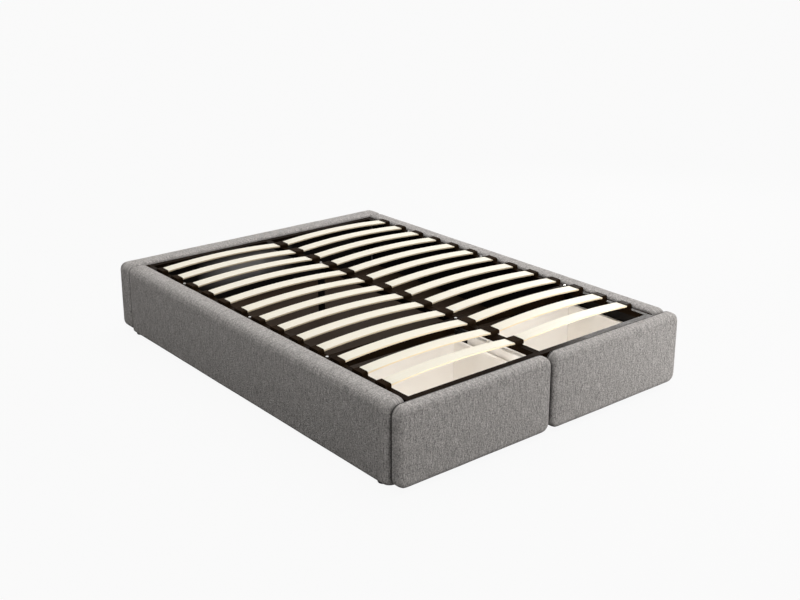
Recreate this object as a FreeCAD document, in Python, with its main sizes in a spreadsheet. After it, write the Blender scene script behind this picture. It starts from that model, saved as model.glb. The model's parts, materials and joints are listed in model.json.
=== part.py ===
import FreeCAD, Part
import os
import Sketcher

# Storage bed base for a 140 by 200 cm mattress, in millimetres.
# Origin on the floor under the middle of the base, +Z up, +Y towards the head, drawers at -Y.

# Driving dimensions: name, value, meaning.
SIZES = (
    # Whole base and its padded panels
    ("base_width", 1600, "outside width over the side panels"),
    ("base_length", 2224, "outside length from drawer fronts to back of head panel"),
    ("foot_height", 11.5, "floor to underside of the panels"),
    ("panel_height", 338.5, "height of a side panel"),
    ("head_rise", 2, "how much higher the head panel stands"),
    ("side_thick", 95, "side panel from fabric to fabric"),
    ("head_thick", 105, "head panel from fabric to fabric"),
    ("front_thick", 59, "drawer front from fabric to fabric"),
    ("front_gap", 6, "drawer front to ends of the side panels"),
    ("front_split", 8, "gap between the two drawer fronts"),
    ("front_inset", 3, "drawer front inside the outer face of the side panel"),
    ("front_lift", 8.5, "drawer front above the underside of the panels"),
    ("seam_gap", 4, "side panel to head panel"),
    ("side_corner", 40, "side panel, upper foot end corner seen from the side"),
    ("side_round", 37, "side panel, top and foot end edges of the outer face"),
    ("side_back_round", 20, "side panel, top and foot end edges of the inner face"),
    ("side_low_round", 12, "side panel, edges of its underside and of its head end"),
    ("head_corner", 38, "head panel, corners seen from behind"),
    ("head_round", 28, "head panel, edges of the outer face"),
    ("head_back_round", 18, "head panel, edges of the inner face"),
    ("front_corner", 42, "drawer front, corners seen from the front"),
    ("front_round", 25, "drawer front, edges of the outer face"),
    ("front_back_round", 10, "drawer front, edges of the inner face"),
    ("wrap", 24, "padding past the edge of the board inside it"),
    ("side_board_thick", 30, "board inside a side panel"),
    ("head_board_thick", 30, "board inside the head panel"),
    ("front_board_thick", 16, "board inside a drawer front"),
    # Steel frame
    ("rail_drop", 13, "top of the panels down to top of the rails"),
    ("rail_width", 30, "rail tube, across"),
    ("rail_height", 25, "rail tube, high"),
    ("rail_wall", 1.5, "wall of the rail tubes and the cross beam"),
    ("foot_rail_gap", 11, "drawer front to foot rail"),
    ("beam_thick", 30, "cross beam along the bed"),
    ("beam_height", 60, "cross beam, high"),
    ("tab_thick", 3, "cross beam tabs under the rails"),
    ("bracket_thick", 3, "rail and corner brackets, sheet"),
    ("bracket_length", 50, "rail bracket along the rail"),
    ("bracket_leg", 45, "rail bracket down the side board"),
    ("corner_leg", 60, "corner bracket along each board"),
    ("corner_height", 120, "corner bracket, high"),
    ("corner_lift", 120, "corner bracket above the floor"),
    ("bolt_thick", 6, "frame bolt, diameter"),
    ("bolt_play", 0.4, "frame bolt in its hole, all round"),
    ("bolt_head_across", 13, "frame bolt head, across its corners"),
    ("bolt_head_height", 4, "frame bolt head, high"),
    ("bolt_nut_height", 5, "frame bolt nut, high"),
    ("bolt_tail", 2, "frame bolt past its nut"),
    # Slats and their holders
    ("slat_count", 13, "rows of slats"),
    ("slat_width", 60, "slat along the bed"),
    ("slat_thick", 8, "slat, thick"),
    ("slat_rise", 14.4, "bow of a slat between its holders"),
    ("slat_grip", 18, "length of a slat inside its holder"),
    ("slat_round", 1.5, "long edges of a slat"),
    ("head_slat_gap", 124, "head panel to the first slat"),
    ("foot_slat_gap", 99.8, "foot rail to the last slat"),
    ("holder_length", 66, "slat holder along the rail"),
    ("holder_height", 18, "slat holder above its rail"),
    ("holder_floor", 6, "rail to underside of a slat at the holder"),
    ("holder_pair_width", 49.2, "double holder on the centre rail, across"),
    ("holder_shoulder", 8, "slat holder, rounded front and back"),
    ("holder_round", 1.5, "slat holder, edges of its ends"),
    ("grip_play", 0.5, "slat in its holder, all round"),
    ("peg_thick", 8, "holder peg, diameter"),
    ("peg_length", 12, "holder peg below the holder"),
    ("peg_play", 0.2, "holder peg in its hole, all round"),
    # Centre leg and feet
    ("leg_thick", 35, "centre leg tube, diameter"),
    ("leg_wall", 2, "centre leg tube, wall"),
    ("leg_plate_length", 60, "plate on top of the centre leg"),
    ("leg_plate_thick", 3, "plate on top of the centre leg, sheet"),
    ("leg_pad_thick", 42, "pad under the centre leg, diameter"),
    ("leg_pad_height", 8, "pad under the centre leg, high"),
    ("foot_thick", 44, "corner foot, diameter"),
    ("foot_side_inset", 35, "outer face of the side panel to the middle of a foot"),
    ("foot_front_inset", 72, "front end of the side panel to the middle of a foot"),
    ("foot_rear_inset", 28, "rear end of the side panel to the middle of a foot"),
    ("foot_round", 4, "corner foot, lower edge"),
    ("support_foot_thick", 30, "foot under partition or batten, diameter"),
    # Drawers
    ("wall_thick", 16, "drawer walls and partitions"),
    ("drawer_lift", 40, "floor to underside of a drawer"),
    ("drawer_clear", 51, "drawer walls to underside of the rails"),
    ("drawer_depth", 504, "drawer front to back of the drawer"),
    ("drawer_floor_thick", 6, "drawer floor"),
    ("drawer_floor_lift", 10, "drawer floor above the underside of the walls"),
    ("groove_depth", 5, "groove for the drawer floor"),
    ("groove_play", 0.2, "drawer floor in its groove, all round"),
    ("partition_split", 4, "gap between the two partitions"),
    ("partition_clear", 19, "partition to underside of the rails"),
    ("partition_setback", 38, "drawer front to front end of the partition"),
    ("partition_foot_inset", 40, "end of the partition to its foot"),
    ("runner_gap", 13, "drawer wall to what carries its runner"),
    ("runner_height", 45, "runner, high"),
    ("runner_length", 450, "runner, long"),
    ("runner_lift", 100, "underside of the drawer to middle of its runner"),
    ("runner_setback", 43, "drawer front to front end of the runner"),
    ("runner_wall", 1.5, "runner sheet"),
    ("runner_play", 0.4, "runner channel in the next one, all round"),
    # Board under the slats, behind the drawers
    ("base_thick", 9, "base board"),
    ("base_gap", 19, "back of a drawer to the base board"),
    ("base_leg_play", 3, "centre leg in its hole, all round"),
    ("batten_lift", 40, "floor to underside of the battens"),
    ("batten_height", 20, "batten, high"),
    ("batten_width", 25, "batten, wide"),
    ("overrun", 5, "how far a cutting shape passes the surface"),
)

# Shares of the sizes that they follow.
BATTEN_FOOT_SHARE = 0.5
MIDDLE_BATTEN_SHARE = 0.45
# Gaps between slats that hold a fastening, counted from the first gap at the head.
BRACKET_GAP_COUNTS = (1, 5, 9)
LEG_GAP_COUNT = 2
BEAM_GAP_COUNT = 9

# Places worked out from the driving dimensions: name, formula.
PLACES = (
    ("front_back_y", "-size.base_length / 2 + size.front_thick"),
    ("side_front_y", "place.front_back_y + size.front_gap"),
    ("head_y", "size.base_length / 2 - size.head_thick"),
    ("side_rear_y", "place.head_y - size.seam_gap"),
    ("side_length", "place.side_rear_y - place.side_front_y"),
    ("side_x", "size.base_width / 2 - size.side_thick"),
    ("panel_top", "size.foot_height + size.panel_height"),
    ("front_low", "size.foot_height + size.front_lift"),
    ("front_width", "size.base_width / 2 - size.front_inset - size.front_split / 2"),
    ("front_mid_x", "(size.base_width / 2 - size.front_inset + size.front_split / 2) / 2"),
    ("front_height", "size.panel_height - size.front_lift"),
    ("head_height", "size.panel_height + size.head_rise"),
    ("rail_top", "place.panel_top - size.rail_drop"),
    ("rail_low", "place.rail_top - size.rail_height"),
    ("rail_x", "place.side_x - size.rail_width"),
    ("rail_mid_x", "place.side_x - size.rail_width / 2"),
    ("foot_rail_y", "place.front_back_y + size.foot_rail_gap"),
    ("rail_front_y", "place.foot_rail_y + size.rail_width"),
    ("rail_rear_y", "place.head_y - size.rail_width"),
    ("slat_seat", "place.rail_top + size.holder_floor"),
    ("slat_half_span", "(place.rail_x - size.holder_pair_width / 2) / 2"),
    ("slat_mid_x", "(place.rail_x + size.holder_pair_width / 2) / 2"),
    ("slat_radius", "place.slat_half_span ^ 2 / (2 * size.slat_rise) + size.slat_rise / 2"),
    ("slat_half_length", "place.slat_half_span + size.slat_grip"),
    ("slat_upper_half", "place.slat_half_length * (1 + size.slat_thick / place.slat_radius)"),
    ("slat_reach", "place.slat_upper_half - place.slat_half_span"),
    ("slat_chord_depth", "sqrt(place.slat_radius ^ 2 - place.slat_half_span ^ 2)"),
    ("slat_end_depth", "sqrt(place.slat_radius ^ 2 - place.slat_half_length ^ 2)"),
    ("slat_first_y", "place.head_y - size.head_slat_gap - size.slat_width"),
    ("slat_last_y", "place.rail_front_y + size.foot_slat_gap"),
    ("slat_pitch", "(place.slat_first_y - place.slat_last_y) / (size.slat_count - 1)"),
    ("slot_low", "size.holder_floor - place.slat_chord_depth + place.slat_end_depth - size.grip_play"),
    ("slot_top", "size.holder_floor + size.slat_thick + size.grip_play"),
    ("gap_first_y", "place.slat_first_y - (place.slat_pitch - size.slat_width) / 2"),
    ("beam_y", f"place.gap_first_y - place.slat_pitch * {BEAM_GAP_COUNT}"),
    ("leg_y", f"place.gap_first_y - place.slat_pitch * {LEG_GAP_COUNT}"),
    ("beam_front_y", "place.beam_y - size.beam_thick / 2"),
    ("partition_x", "size.partition_split / 2 + size.wall_thick"),
    ("partition_front_y", "place.front_back_y + size.partition_setback"),
    ("drawer_inner_x", "place.partition_x + size.runner_gap"),
    ("drawer_outer_x", "place.side_x - size.runner_gap"),
    ("drawer_rear_y", "place.front_back_y + size.drawer_depth"),
    ("drawer_top", "place.rail_low - size.drawer_clear"),
    ("drawer_floor_low", "size.drawer_lift + size.drawer_floor_lift"),
    ("runner_front_y", "place.front_back_y + size.runner_setback"),
    ("runner_mid_z", "size.drawer_lift + size.runner_lift"),
    ("base_front_y", "place.drawer_rear_y + size.base_gap"),
    ("base_low", "size.batten_lift + size.batten_height"),
    ("batten_x", "place.side_x - size.batten_width"),
    ("base_middle_y", f"place.base_front_y + (place.head_y - place.base_front_y) * {MIDDLE_BATTEN_SHARE}"),
)

SIDES = (("left", -1), ("right", 1))

doc = FreeCAD.newDocument("storage_bed_base")
size = doc.addObject("Spreadsheet::Sheet", "size")
for row, (name, value, meaning) in enumerate(SIZES, 1):
    size.set(f"A{row}", str(value))
    size.setAlias(f"A{row}", name)
    size.set(f"B{row}", meaning)
place = doc.addObject("Spreadsheet::Sheet", "place")
for row, (name, formula) in enumerate(PLACES, 1):
    place.setAlias(f"A{row}", name)
for row, (name, formula) in enumerate(PLACES, 1):
    place.set(f"A{row}", "=" + formula.replace("place.", ""))
doc.recompute()

nodes = []


def node(item):
    """Mark a finished object as a sub-part of its own, named by its label."""
    nodes.append(item)
    return item


def bind(item, **formulas):
    """Tie properties of an object to the sheets."""
    for name, formula in formulas.items():
        item.setExpression(name, formula)
    return item


def move(item, x="0", y="0", z="0"):
    """Tie the place of an object to the sheets."""
    for axis, formula in zip("xyz", (x, y, z)):
        item.setExpression(f"Placement.Base.{axis}", formula)
    return item


def minus(formula):
    return f"-({formula})"


def flip(side, low, high):
    """A stretch of X on the right (1), or its mirror image on the left (-1)."""
    return (low, high) if side > 0 else (minus(high), minus(low))


# Plain solids


def block(label, xs, ys, zs):
    """A box between low and high formulas on each axis."""
    item = doc.addObject("Part::Box", label)
    spans = [f"({high}) - ({low})" for low, high in (xs, ys, zs)]
    bind(item, Length=spans[0], Width=spans[1], Height=spans[2])
    return move(item, xs[0], ys[0], zs[0])


def rod(label, thick, x, y, z_low, z_high):
    """An upright round bar."""
    item = doc.addObject("Part::Cylinder", label)
    bind(item, Radius=f"({thick}) / 2", Height=f"({z_high}) - ({z_low})")
    return move(item, x, y, z_low)


def hexagon(label, across, x, y, z_low, height):
    """An upright six-sided bar."""
    item = doc.addObject("Part::Prism", label)
    item.Polygon = 6
    bind(item, Circumradius=f"({across}) / 2", Height=height)
    return move(item, x, y, z_low)


def cut(label, base, tool):
    item = doc.addObject("Part::Cut", label)
    item.Base = base
    item.Tool = tool
    return item


def fuse(label, pieces):
    item = doc.addObject("Part::MultiFuse", label)
    item.Shapes = pieces
    return item


def group(label, pieces):
    """Separate solids that make one sub-part."""
    item = doc.addObject("Part::Compound", label)
    item.Links = pieces
    return item


def copy(label, source, x="0", y="0", z="0"):
    item = doc.addObject("App::Link", label)
    item.LinkedObject = source
    return move(item, x, y, z)


# Sketched solids: every sketch lies level in its body and is raised or sunk along the body's Z


def sketch_on(body, name, x, y, z):
    """An empty sketch on the body's own XY plane, shifted to x, y, z."""
    sketch = body.newObject("Sketcher::SketchObject", name)
    level = [face for face in body.Origin.OriginFeatures if face.Role == "XY_Plane"]
    sketch.AttachmentSupport = [(level[0], "")]
    sketch.MapMode = "FlatFace"
    for axis, formula in zip("xyz", (x, y, z)):
        sketch.setExpression(f"AttachmentOffset.Base.{axis}", formula)
    return sketch


def rectangle(body, name, width, depth, x="0", y="0", z="0"):
    """A rectangle centred on x, y."""
    sketch = sketch_on(body, name, x, y, z)
    half_width = size.evalExpression(f"({width}) / 2")
    half_depth = size.evalExpression(f"({depth}) / 2")
    signs = ((-1, -1), (1, -1), (1, 1), (-1, 1))
    corners = [FreeCAD.Vector(a * half_width, b * half_depth, 0) for a, b in signs]
    for edge in range(4):
        sketch.addGeometry(Part.LineSegment(corners[edge], corners[(edge + 1) % 4]), False)
    for edge in range(4):
        sketch.addConstraint(Sketcher.Constraint("Coincident", edge, 2, (edge + 1) % 4, 1))
    for edge, direction in enumerate(("Horizontal", "Vertical") * 2):
        sketch.addConstraint(Sketcher.Constraint(direction, edge))
    sketch.addConstraint(Sketcher.Constraint("Symmetric", 0, 1, 2, 1, -1, 1))
    across = sketch.addConstraint(Sketcher.Constraint("DistanceX", 0, 1, 0, 2, 2 * half_width))
    sketch.renameConstraint(across, "across")
    along = sketch.addConstraint(Sketcher.Constraint("DistanceY", 1, 1, 1, 2, 2 * half_depth))
    sketch.renameConstraint(along, "along")
    sketch.setExpression("Constraints.across", width)
    sketch.setExpression("Constraints.along", depth)
    return sketch


def circle(body, name, thick, x="0", y="0", z="0"):
    """A circle centred on x, y."""
    sketch = sketch_on(body, name, x, y, z)
    radius = size.evalExpression(f"({thick}) / 2")
    ring = Part.Circle(FreeCAD.Vector(0, 0, 0), FreeCAD.Vector(0, 0, 1), radius)
    sketch.addGeometry(ring, False)
    sketch.addConstraint(Sketcher.Constraint("Coincident", 0, 3, -1, 1))
    across = sketch.addConstraint(Sketcher.Constraint("Diameter", 0, 2 * radius))
    sketch.renameConstraint(across, "across")
    sketch.setExpression("Constraints.across", thick)
    return sketch


def raise_up(body, sketch, height):
    """Add the sketch's area upwards."""
    pad = body.newObject("PartDesign::Pad", f"{sketch.Name}_pad")
    pad.Profile = sketch
    bind(pad, Length=height)
    doc.recompute()
    return pad


def sink_in(body, sketch, depth):
    """Cut the sketch's area upwards from the sketch, and see that it takes something away."""
    before = body.Shape.Volume
    pocket = body.newObject("PartDesign::Pocket", f"{sketch.Name}_pocket")
    pocket.Profile = sketch
    pocket.Reversed = True
    bind(pocket, Length=depth)
    doc.recompute()
    if not body.Shape.Volume < before:
        raise RuntimeError(f"{body.Label}: {sketch.Name} cuts nothing")
    return pocket


def soften(body, feature, edges, radius, name):
    """Round named edges, or all edges of named faces, of a feature."""
    fillet = body.newObject("PartDesign::Fillet", name)
    fillet.Base = (feature, edges)
    bind(fillet, Radius=radius)
    doc.recompute()
    return fillet


def straight_edges(feature, axis, where=lambda middle, centre: True):
    """Names of the straight edges along an axis whose middle passes a test against the shape's centre."""
    centre = feature.Shape.BoundBox.Center
    along = FreeCAD.Vector(axis == "X", axis == "Y", axis == "Z")
    found = []
    for number, edge in enumerate(feature.Shape.Edges, 1):
        straight = edge.Curve.TypeId == "Part::GeomLine"
        if straight and edge.Curve.Direction.isParallel(along, Part.Precision.angular()):
            if where(edge.CenterOfMass, centre):
                found.append(f"Edge{number}")
    return found


def flat_face(feature, axis, high):
    """Name of the flat face at the low or high end of a shape along an axis."""
    bounds = f"{axis}Min", f"{axis}Max"
    end = getattr(feature.Shape.BoundBox, bounds[high])
    for number, face in enumerate(feature.Shape.Faces, 1):
        apart = max(abs(getattr(face.BoundBox, bound) - end) for bound in bounds)
        if apart < Part.Precision.approximation():
            return f"Face{number}"
    raise RuntimeError(f"{feature.Label}: no flat face")


def new_body(label):
    return doc.addObject("PartDesign::Body", label)


# Padded panels: foam and fabric wrapped round a board that lies flush with the inner face


def slab_of(label, length, height, thick):
    """Plain padding of one panel: local X along it, Y up from its lower edge, Z out of its outer face."""
    body = new_body(label)
    outline = rectangle(body, f"{label}_outline", length, height, y=f"({height}) / 2")
    return body, raise_up(body, outline, thick)


def cut_seat(body, length, height, board_thick):
    """Seat of the board in the inner face of a padding."""
    label = body.Label
    seat = rectangle(
        body,
        f"{label}_seat",
        f"({length}) - 2 * size.wrap",
        f"({height}) - 2 * size.wrap",
        y=f"({height}) / 2",
    )
    sink_in(body, seat, board_thick)


def padding(label, length, height, thick, board_thick, rounds):
    """Padding with rounded corners, and rounded edges all round its outer and inner face."""
    corner, outer_round, inner_round = rounds
    body, slab = slab_of(label, length, height, thick)
    cornered = soften(body, slab, straight_edges(slab, "Z"), corner, f"{label}_corners")
    faced = soften(body, cornered, [flat_face(cornered, "Z", True)], outer_round, f"{label}_face")
    soften(body, faced, [flat_face(faced, "Z", False)], inner_round, f"{label}_back")
    cut_seat(body, length, height, board_thick)
    return body


def side_padding(label, side):
    """Padding of a side panel: well rounded at its top and foot end, tighter below and at the head end."""
    length = "place.side_length"
    height = "size.panel_height"
    body, slab = slab_of(label, length, height, "size.side_thick")
    corner = straight_edges(slab, "Z", lambda at, centre: at.x * side < 0 and at.y > centre.y)
    cornered = soften(body, slab, corner, "size.side_corner", f"{label}_corner")
    outer_top = straight_edges(cornered, "X", lambda at, centre: at.y > centre.y and at.z > centre.z)
    faced = soften(body, cornered, outer_top, "size.side_round", f"{label}_face")
    inner_top = straight_edges(faced, "X", lambda at, centre: at.y > centre.y and at.z < centre.z)
    backed = soften(body, faced, inner_top, "size.side_back_round", f"{label}_back")
    ends = [flat_face(backed, "Y", False), flat_face(backed, "X", side > 0)]
    soften(body, backed, ends, "size.side_low_round", f"{label}_ends")
    cut_seat(body, length, height, "size.side_board_thick")
    return body


def turned(body, along, out):
    """Turn a panel so that its local X runs along one direction and its local Z points out."""
    up = FreeCAD.Vector(0, 0, 1)
    body.Placement.Rotation = FreeCAD.Rotation(along, up, out, "ZXY")
    return body


def side_panels():
    """Long panels; the end at the head stands close against the head panel."""
    board_ys = ("place.side_front_y + size.wrap", "place.side_rear_y - size.wrap")
    board_zs = ("size.foot_height + size.wrap", "place.panel_top - size.wrap")
    for name, side in SIDES:
        panel = side_padding(f"{name}_side_upholstery", side)
        turned(panel, FreeCAD.Vector(0, side, 0), FreeCAD.Vector(side, 0, 0))
        middle_y = "(place.side_front_y + place.side_rear_y) / 2"
        x = "place.side_x" if side > 0 else "-place.side_x"
        node(move(panel, x, middle_y, "size.foot_height"))
        xs = flip(side, "place.side_x", "place.side_x + size.side_board_thick")
        node(block(f"{name}_side_board", xs, board_ys, board_zs))


def head_panel():
    """Panel across the head, between which and the foot rail the side panels stand."""
    rounds = ("size.head_corner", "size.head_round", "size.head_back_round")
    panel = padding(
        "head_upholstery",
        "size.base_width",
        "place.head_height",
        "size.head_thick",
        "size.head_board_thick",
        rounds,
    )
    turned(panel, FreeCAD.Vector(-1, 0, 0), FreeCAD.Vector(0, 1, 0))
    node(move(panel, y="place.head_y", z="size.foot_height"))
    xs = ("-size.base_width / 2 + size.wrap", "size.base_width / 2 - size.wrap")
    ys = ("place.head_y", "place.head_y + size.head_board_thick")
    zs = ("size.foot_height + size.wrap", "size.foot_height + place.head_height - size.wrap")
    node(block("head_board", xs, ys, zs))


# Steel frame


def tube(label, xs, ys, zs, along):
    """A rectangular tube, open at both ends, along X or Y."""
    inner = []
    for axis, (low, high) in zip("xyz", (xs, ys, zs)):
        step = "-size.overrun" if axis == along else "size.rail_wall"
        inner.append((f"{low} + {step}", f"{high} - ({step})"))
    return cut(label, block(f"{label}_skin", xs, ys, zs), block(f"{label}_hollow", *inner))


def slat_middle_y(row):
    return f"place.slat_first_y - place.slat_pitch * {row} + size.slat_width / 2"


def gap_middle_y(gap):
    return f"place.gap_first_y - place.slat_pitch * {gap}"


def drilled_rail(label, x, xs, bolt_gaps):
    """A rail along the bed with a hole in its top for each holder peg, and bolt holes right through."""
    ys = ("place.rail_front_y", "place.rail_rear_y")
    zs = ("place.rail_low", "place.rail_top")
    bare = tube(f"{label}_tube", xs, ys, zs, "y")
    drills = []
    for row in range(int(size.slat_count)):
        thick = "size.peg_thick + 2 * size.peg_play"
        low = "place.rail_top - size.rail_height / 2"
        high = "place.rail_top + size.overrun"
        drills.append(rod(f"{label}_peg_hole_{row}", thick, x, slat_middle_y(row), low, high))
    for gap in bolt_gaps:
        thick = "size.bolt_thick + 2 * size.bolt_play"
        low = "place.rail_low - size.overrun"
        high = "place.rail_top + size.overrun"
        drills.append(rod(f"{label}_bolt_hole_{gap}", thick, x, gap_middle_y(gap), low, high))
    return node(cut(label, bare, group(f"{label}_drills", drills)))


def rails():
    """Two side rails and the centre rail between the head rail and the foot rail."""
    for name, side in SIDES:
        x = "place.rail_mid_x" if side > 0 else "-place.rail_mid_x"
        drilled_rail(f"{name}_rail", x, flip(side, "place.rail_x", "place.side_x"), BRACKET_GAP_COUNTS)
    centre_xs = ("-size.rail_width / 2", "size.rail_width / 2")
    drilled_rail("centre_rail", "0", centre_xs, (LEG_GAP_COUNT, BEAM_GAP_COUNT))
    xs = ("-place.side_x", "place.side_x")
    zs = ("place.rail_low", "place.rail_top")
    node(tube("head_rail", xs, ("place.rail_rear_y", "place.head_y"), zs, "x"))
    node(tube("foot_rail", xs, ("place.foot_rail_y", "place.rail_front_y"), zs, "x"))


def cross_beam():
    """Welded beam: a tube on each side of the centre rail, and tabs bolted up under the rails."""
    ys = ("place.beam_front_y", "place.beam_front_y + size.beam_thick")
    zs = ("place.rail_top - size.beam_height", "place.rail_top")
    tab_ys = (f"{ys[0]} + size.rail_wall", f"{ys[1]} - size.rail_wall")
    pieces = []
    for name, side in SIDES:
        xs = flip(side, "size.rail_width / 2", "place.rail_x")
        pieces.append(tube(f"{name}_beam_tube", xs, ys, zs, "x"))
    tab_zs = ("place.rail_low - size.bracket_thick - size.tab_thick", "place.rail_low - size.bracket_thick")
    for name, side in SIDES:
        xs = flip(side, "place.rail_x - size.rail_width", "place.side_x - size.bracket_thick")
        pieces.append(block(f"{name}_beam_tab", xs, tab_ys, tab_zs))
    middle_zs = ("place.rail_low - size.tab_thick", "place.rail_low")
    pieces.append(block("middle_beam_tab", ("-size.rail_width", "size.rail_width"), tab_ys, middle_zs))
    thick = "size.bolt_thick + 2 * size.bolt_play"
    low = "place.rail_low - size.beam_height"
    high = "place.rail_low + size.overrun"
    drills = []
    for name, x in (("left", "-place.rail_mid_x"), ("middle", "0"), ("right", "place.rail_mid_x")):
        drills.append(rod(f"{name}_tab_hole", thick, x, "place.beam_y", low, high))
    node(cut("cross_beam", fuse("beam_weldment", pieces), group("tab_drills", drills)))


def rail_brackets():
    """Angle brackets on the side boards, each carrying a side rail on its level leg."""
    pieces = []
    for name, side in SIDES:
        for gap in BRACKET_GAP_COUNTS:
            y = gap_middle_y(gap)
            ys = (f"{y} - size.bracket_length / 2", f"{y} + size.bracket_length / 2")
            level_xs = flip(side, "place.rail_x", "place.side_x")
            level_zs = ("place.rail_low - size.bracket_thick", "place.rail_low")
            upright_xs = flip(side, "place.side_x - size.bracket_thick", "place.side_x")
            upright_zs = ("place.rail_low - size.bracket_leg", "place.rail_low")
            level = block(f"{name}_level_leg_{gap}", level_xs, ys, level_zs)
            upright = block(f"{name}_upright_leg_{gap}", upright_xs, ys, upright_zs)
            x = "place.rail_mid_x" if side > 0 else "-place.rail_mid_x"
            thick = "size.bolt_thick + 2 * size.bolt_play"
            low = "place.rail_low - size.bracket_thick - size.overrun"
            high = "place.rail_low + size.overrun"
            drill = rod(f"{name}_bracket_hole_{gap}", thick, x, y, low, high)
            angle = fuse(f"{name}_angle_{gap}", [level, upright])
            pieces.append(cut(f"{name}_bracket_{gap}", angle, drill))
    node(group("rail_brackets", pieces))


def corner_brackets():
    """Angle plates that tie the side boards to the head board."""
    zs = ("size.corner_lift", "size.corner_lift + size.corner_height")
    head_ys = ("place.head_y - size.bracket_thick", "place.head_y")
    side_ys = ("place.head_y - size.corner_leg", "place.head_y")
    pieces = []
    for name, side in SIDES:
        head_xs = flip(side, "place.side_x - size.corner_leg", "place.side_x")
        side_xs = flip(side, "place.side_x - size.bracket_thick", "place.side_x")
        head_leg = block(f"{name}_head_leg", head_xs, head_ys, zs)
        side_leg = block(f"{name}_side_leg", side_xs, side_ys, zs)
        pieces.append(fuse(f"{name}_corner_bracket", [head_leg, side_leg]))
    node(group("corner_brackets", pieces))


def bolt(label, x, y, under):
    """A bolt down through a rail, with its nut under what hangs there."""
    across = "size.bolt_head_across"
    nut_low = f"{under} - size.bolt_nut_height"
    head = hexagon(f"{label}_head", across, x, y, "place.rail_top", "size.bolt_head_height")
    shank = rod(f"{label}_shank", "size.bolt_thick", x, y, f"{nut_low} - size.bolt_tail", "place.rail_top")
    nut = hexagon(f"{label}_nut", across, x, y, nut_low, "size.bolt_nut_height")
    return fuse(label, [head, shank, nut])


def frame_bolts():
    pieces = []
    for name, side in SIDES:
        x = "place.rail_mid_x" if side > 0 else "-place.rail_mid_x"
        for gap in BRACKET_GAP_COUNTS:
            under = "place.rail_low - size.bracket_thick"
            if gap == BEAM_GAP_COUNT:
                under += " - size.tab_thick"
            pieces.append(bolt(f"{name}_bolt_{gap}", x, gap_middle_y(gap), under))
    pieces.append(bolt("leg_bolt", "0", "place.leg_y", "place.rail_low - size.leg_plate_thick"))
    pieces.append(bolt("beam_bolt", "0", "place.beam_y", "place.rail_low - size.tab_thick"))
    node(group("frame_bolts", pieces))


# Slats and holders


def slat():
    """One bowed slat: an arc of a thin ring, its chord level on the seats of two holders."""
    angle = "2 * asin(place.slat_half_length / place.slat_radius)"
    radii = (
        ("slat_upper_face", "place.slat_radius + size.slat_thick"),
        ("slat_lower_face", "place.slat_radius"),
    )
    discs = []
    for name, radius in radii:
        disc = doc.addObject("Part::Cylinder", name)
        bind(disc, Radius=radius, Height="size.slat_width", Angle=angle)
        discs.append(disc)
    arc = cut("slat_arc", *discs)
    doc.recompute()
    long_edges = []
    for number, edge in enumerate(arc.Shape.Edges, 1):
        if isinstance(edge.Curve, Part.Circle):
            long_edges.append((number, size.slat_round, size.slat_round))
    piece = doc.addObject("Part::Fillet", "slat")
    piece.Base = arc
    piece.Edges = long_edges
    level = FreeCAD.Rotation(FreeCAD.Vector(1, 0, 0), 90)
    half = FreeCAD.Rotation(FreeCAD.Vector(0, 1, 0), -90 + discs[0].Angle.Value / 2)
    piece.Placement.Rotation = half.multiply(level)
    return piece


def slat_rows():
    """Rows of two slats, one on each side of the centre rail, numbered from the head."""
    master = slat()
    z = "place.slat_seat - place.slat_chord_depth"
    for row in range(int(size.slat_count)):
        y = f"place.slat_first_y - place.slat_pitch * {row} + size.slat_width"
        pieces = []
        for name, side in SIDES:
            x = "place.slat_mid_x" if side > 0 else "-place.slat_mid_x"
            piece = copy(f"{name}_slat_{row + 1:02d}", master)
            piece.Placement.Rotation = master.Placement.Rotation
            pieces.append(move(piece, x, y, z))
        node(group(f"slat_row_{row + 1:02d}", pieces))


def holder(label, width, mouths):
    """A moulded cap with a slot for each slat end and a peg below, standing on its rail at Z 0.

    The cap is drawn end on: local X along the rail, Y up, Z across the bed.
    """
    cap = new_body(f"{label}_cap")
    outline = rectangle(
        cap,
        f"{label}_outline",
        "size.holder_length",
        "size.holder_height",
        y="size.holder_height / 2",
    )
    rounded = raise_up(cap, outline, width)
    shoulders = straight_edges(rounded, "Z", lambda at, centre: at.y > centre.y)
    rounded = soften(cap, rounded, shoulders, "size.holder_shoulder", f"{label}_shoulders")
    for end, far in (("near", False), ("far", True)):
        edges = [flat_face(rounded, "Z", far)]
        rounded = soften(cap, rounded, edges, "size.holder_round", f"{label}_{end}_edge")
    depth = "(place.slat_reach + size.grip_play)"
    for name, far in mouths:
        mouth = rectangle(
            cap,
            f"{label}_{name}_slot",
            "size.slat_width + 2 * size.grip_play",
            "place.slot_top - place.slot_low",
            y="(place.slot_low + place.slot_top) / 2",
            z=f"{width} - {depth}" if far else "-size.overrun",
        )
        sink_in(cap, mouth, f"{depth} + size.overrun")
    turned(cap, FreeCAD.Vector(0, 1, 0), FreeCAD.Vector(1, 0, 0))
    move(cap, x=f"-{width} / 2")
    peg = rod(f"{label}_peg", "size.peg_thick", "0", "0", "-size.peg_length", "0")
    return fuse(label, [cap, peg])


def slat_holders():
    """One holder per slat end on each side rail, and double ones on the centre rail."""
    kinds = (
        ("left", "size.rail_width", (("inner", True),), "-place.rail_mid_x"),
        ("centre", "size.holder_pair_width", (("left", False), ("right", True)), "0"),
        ("right", "size.rail_width", (("inner", False),), "place.rail_mid_x"),
    )
    for name, width, mouths, x in kinds:
        master = holder(f"{name}_holder", width, mouths)
        pieces = []
        for row in range(int(size.slat_count)):
            label = f"{name}_holder_{row + 1:02d}"
            pieces.append(copy(label, master, x, slat_middle_y(row), "place.rail_top"))
        node(group(f"{name}_slat_holders", pieces))


# Centre leg and feet


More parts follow.
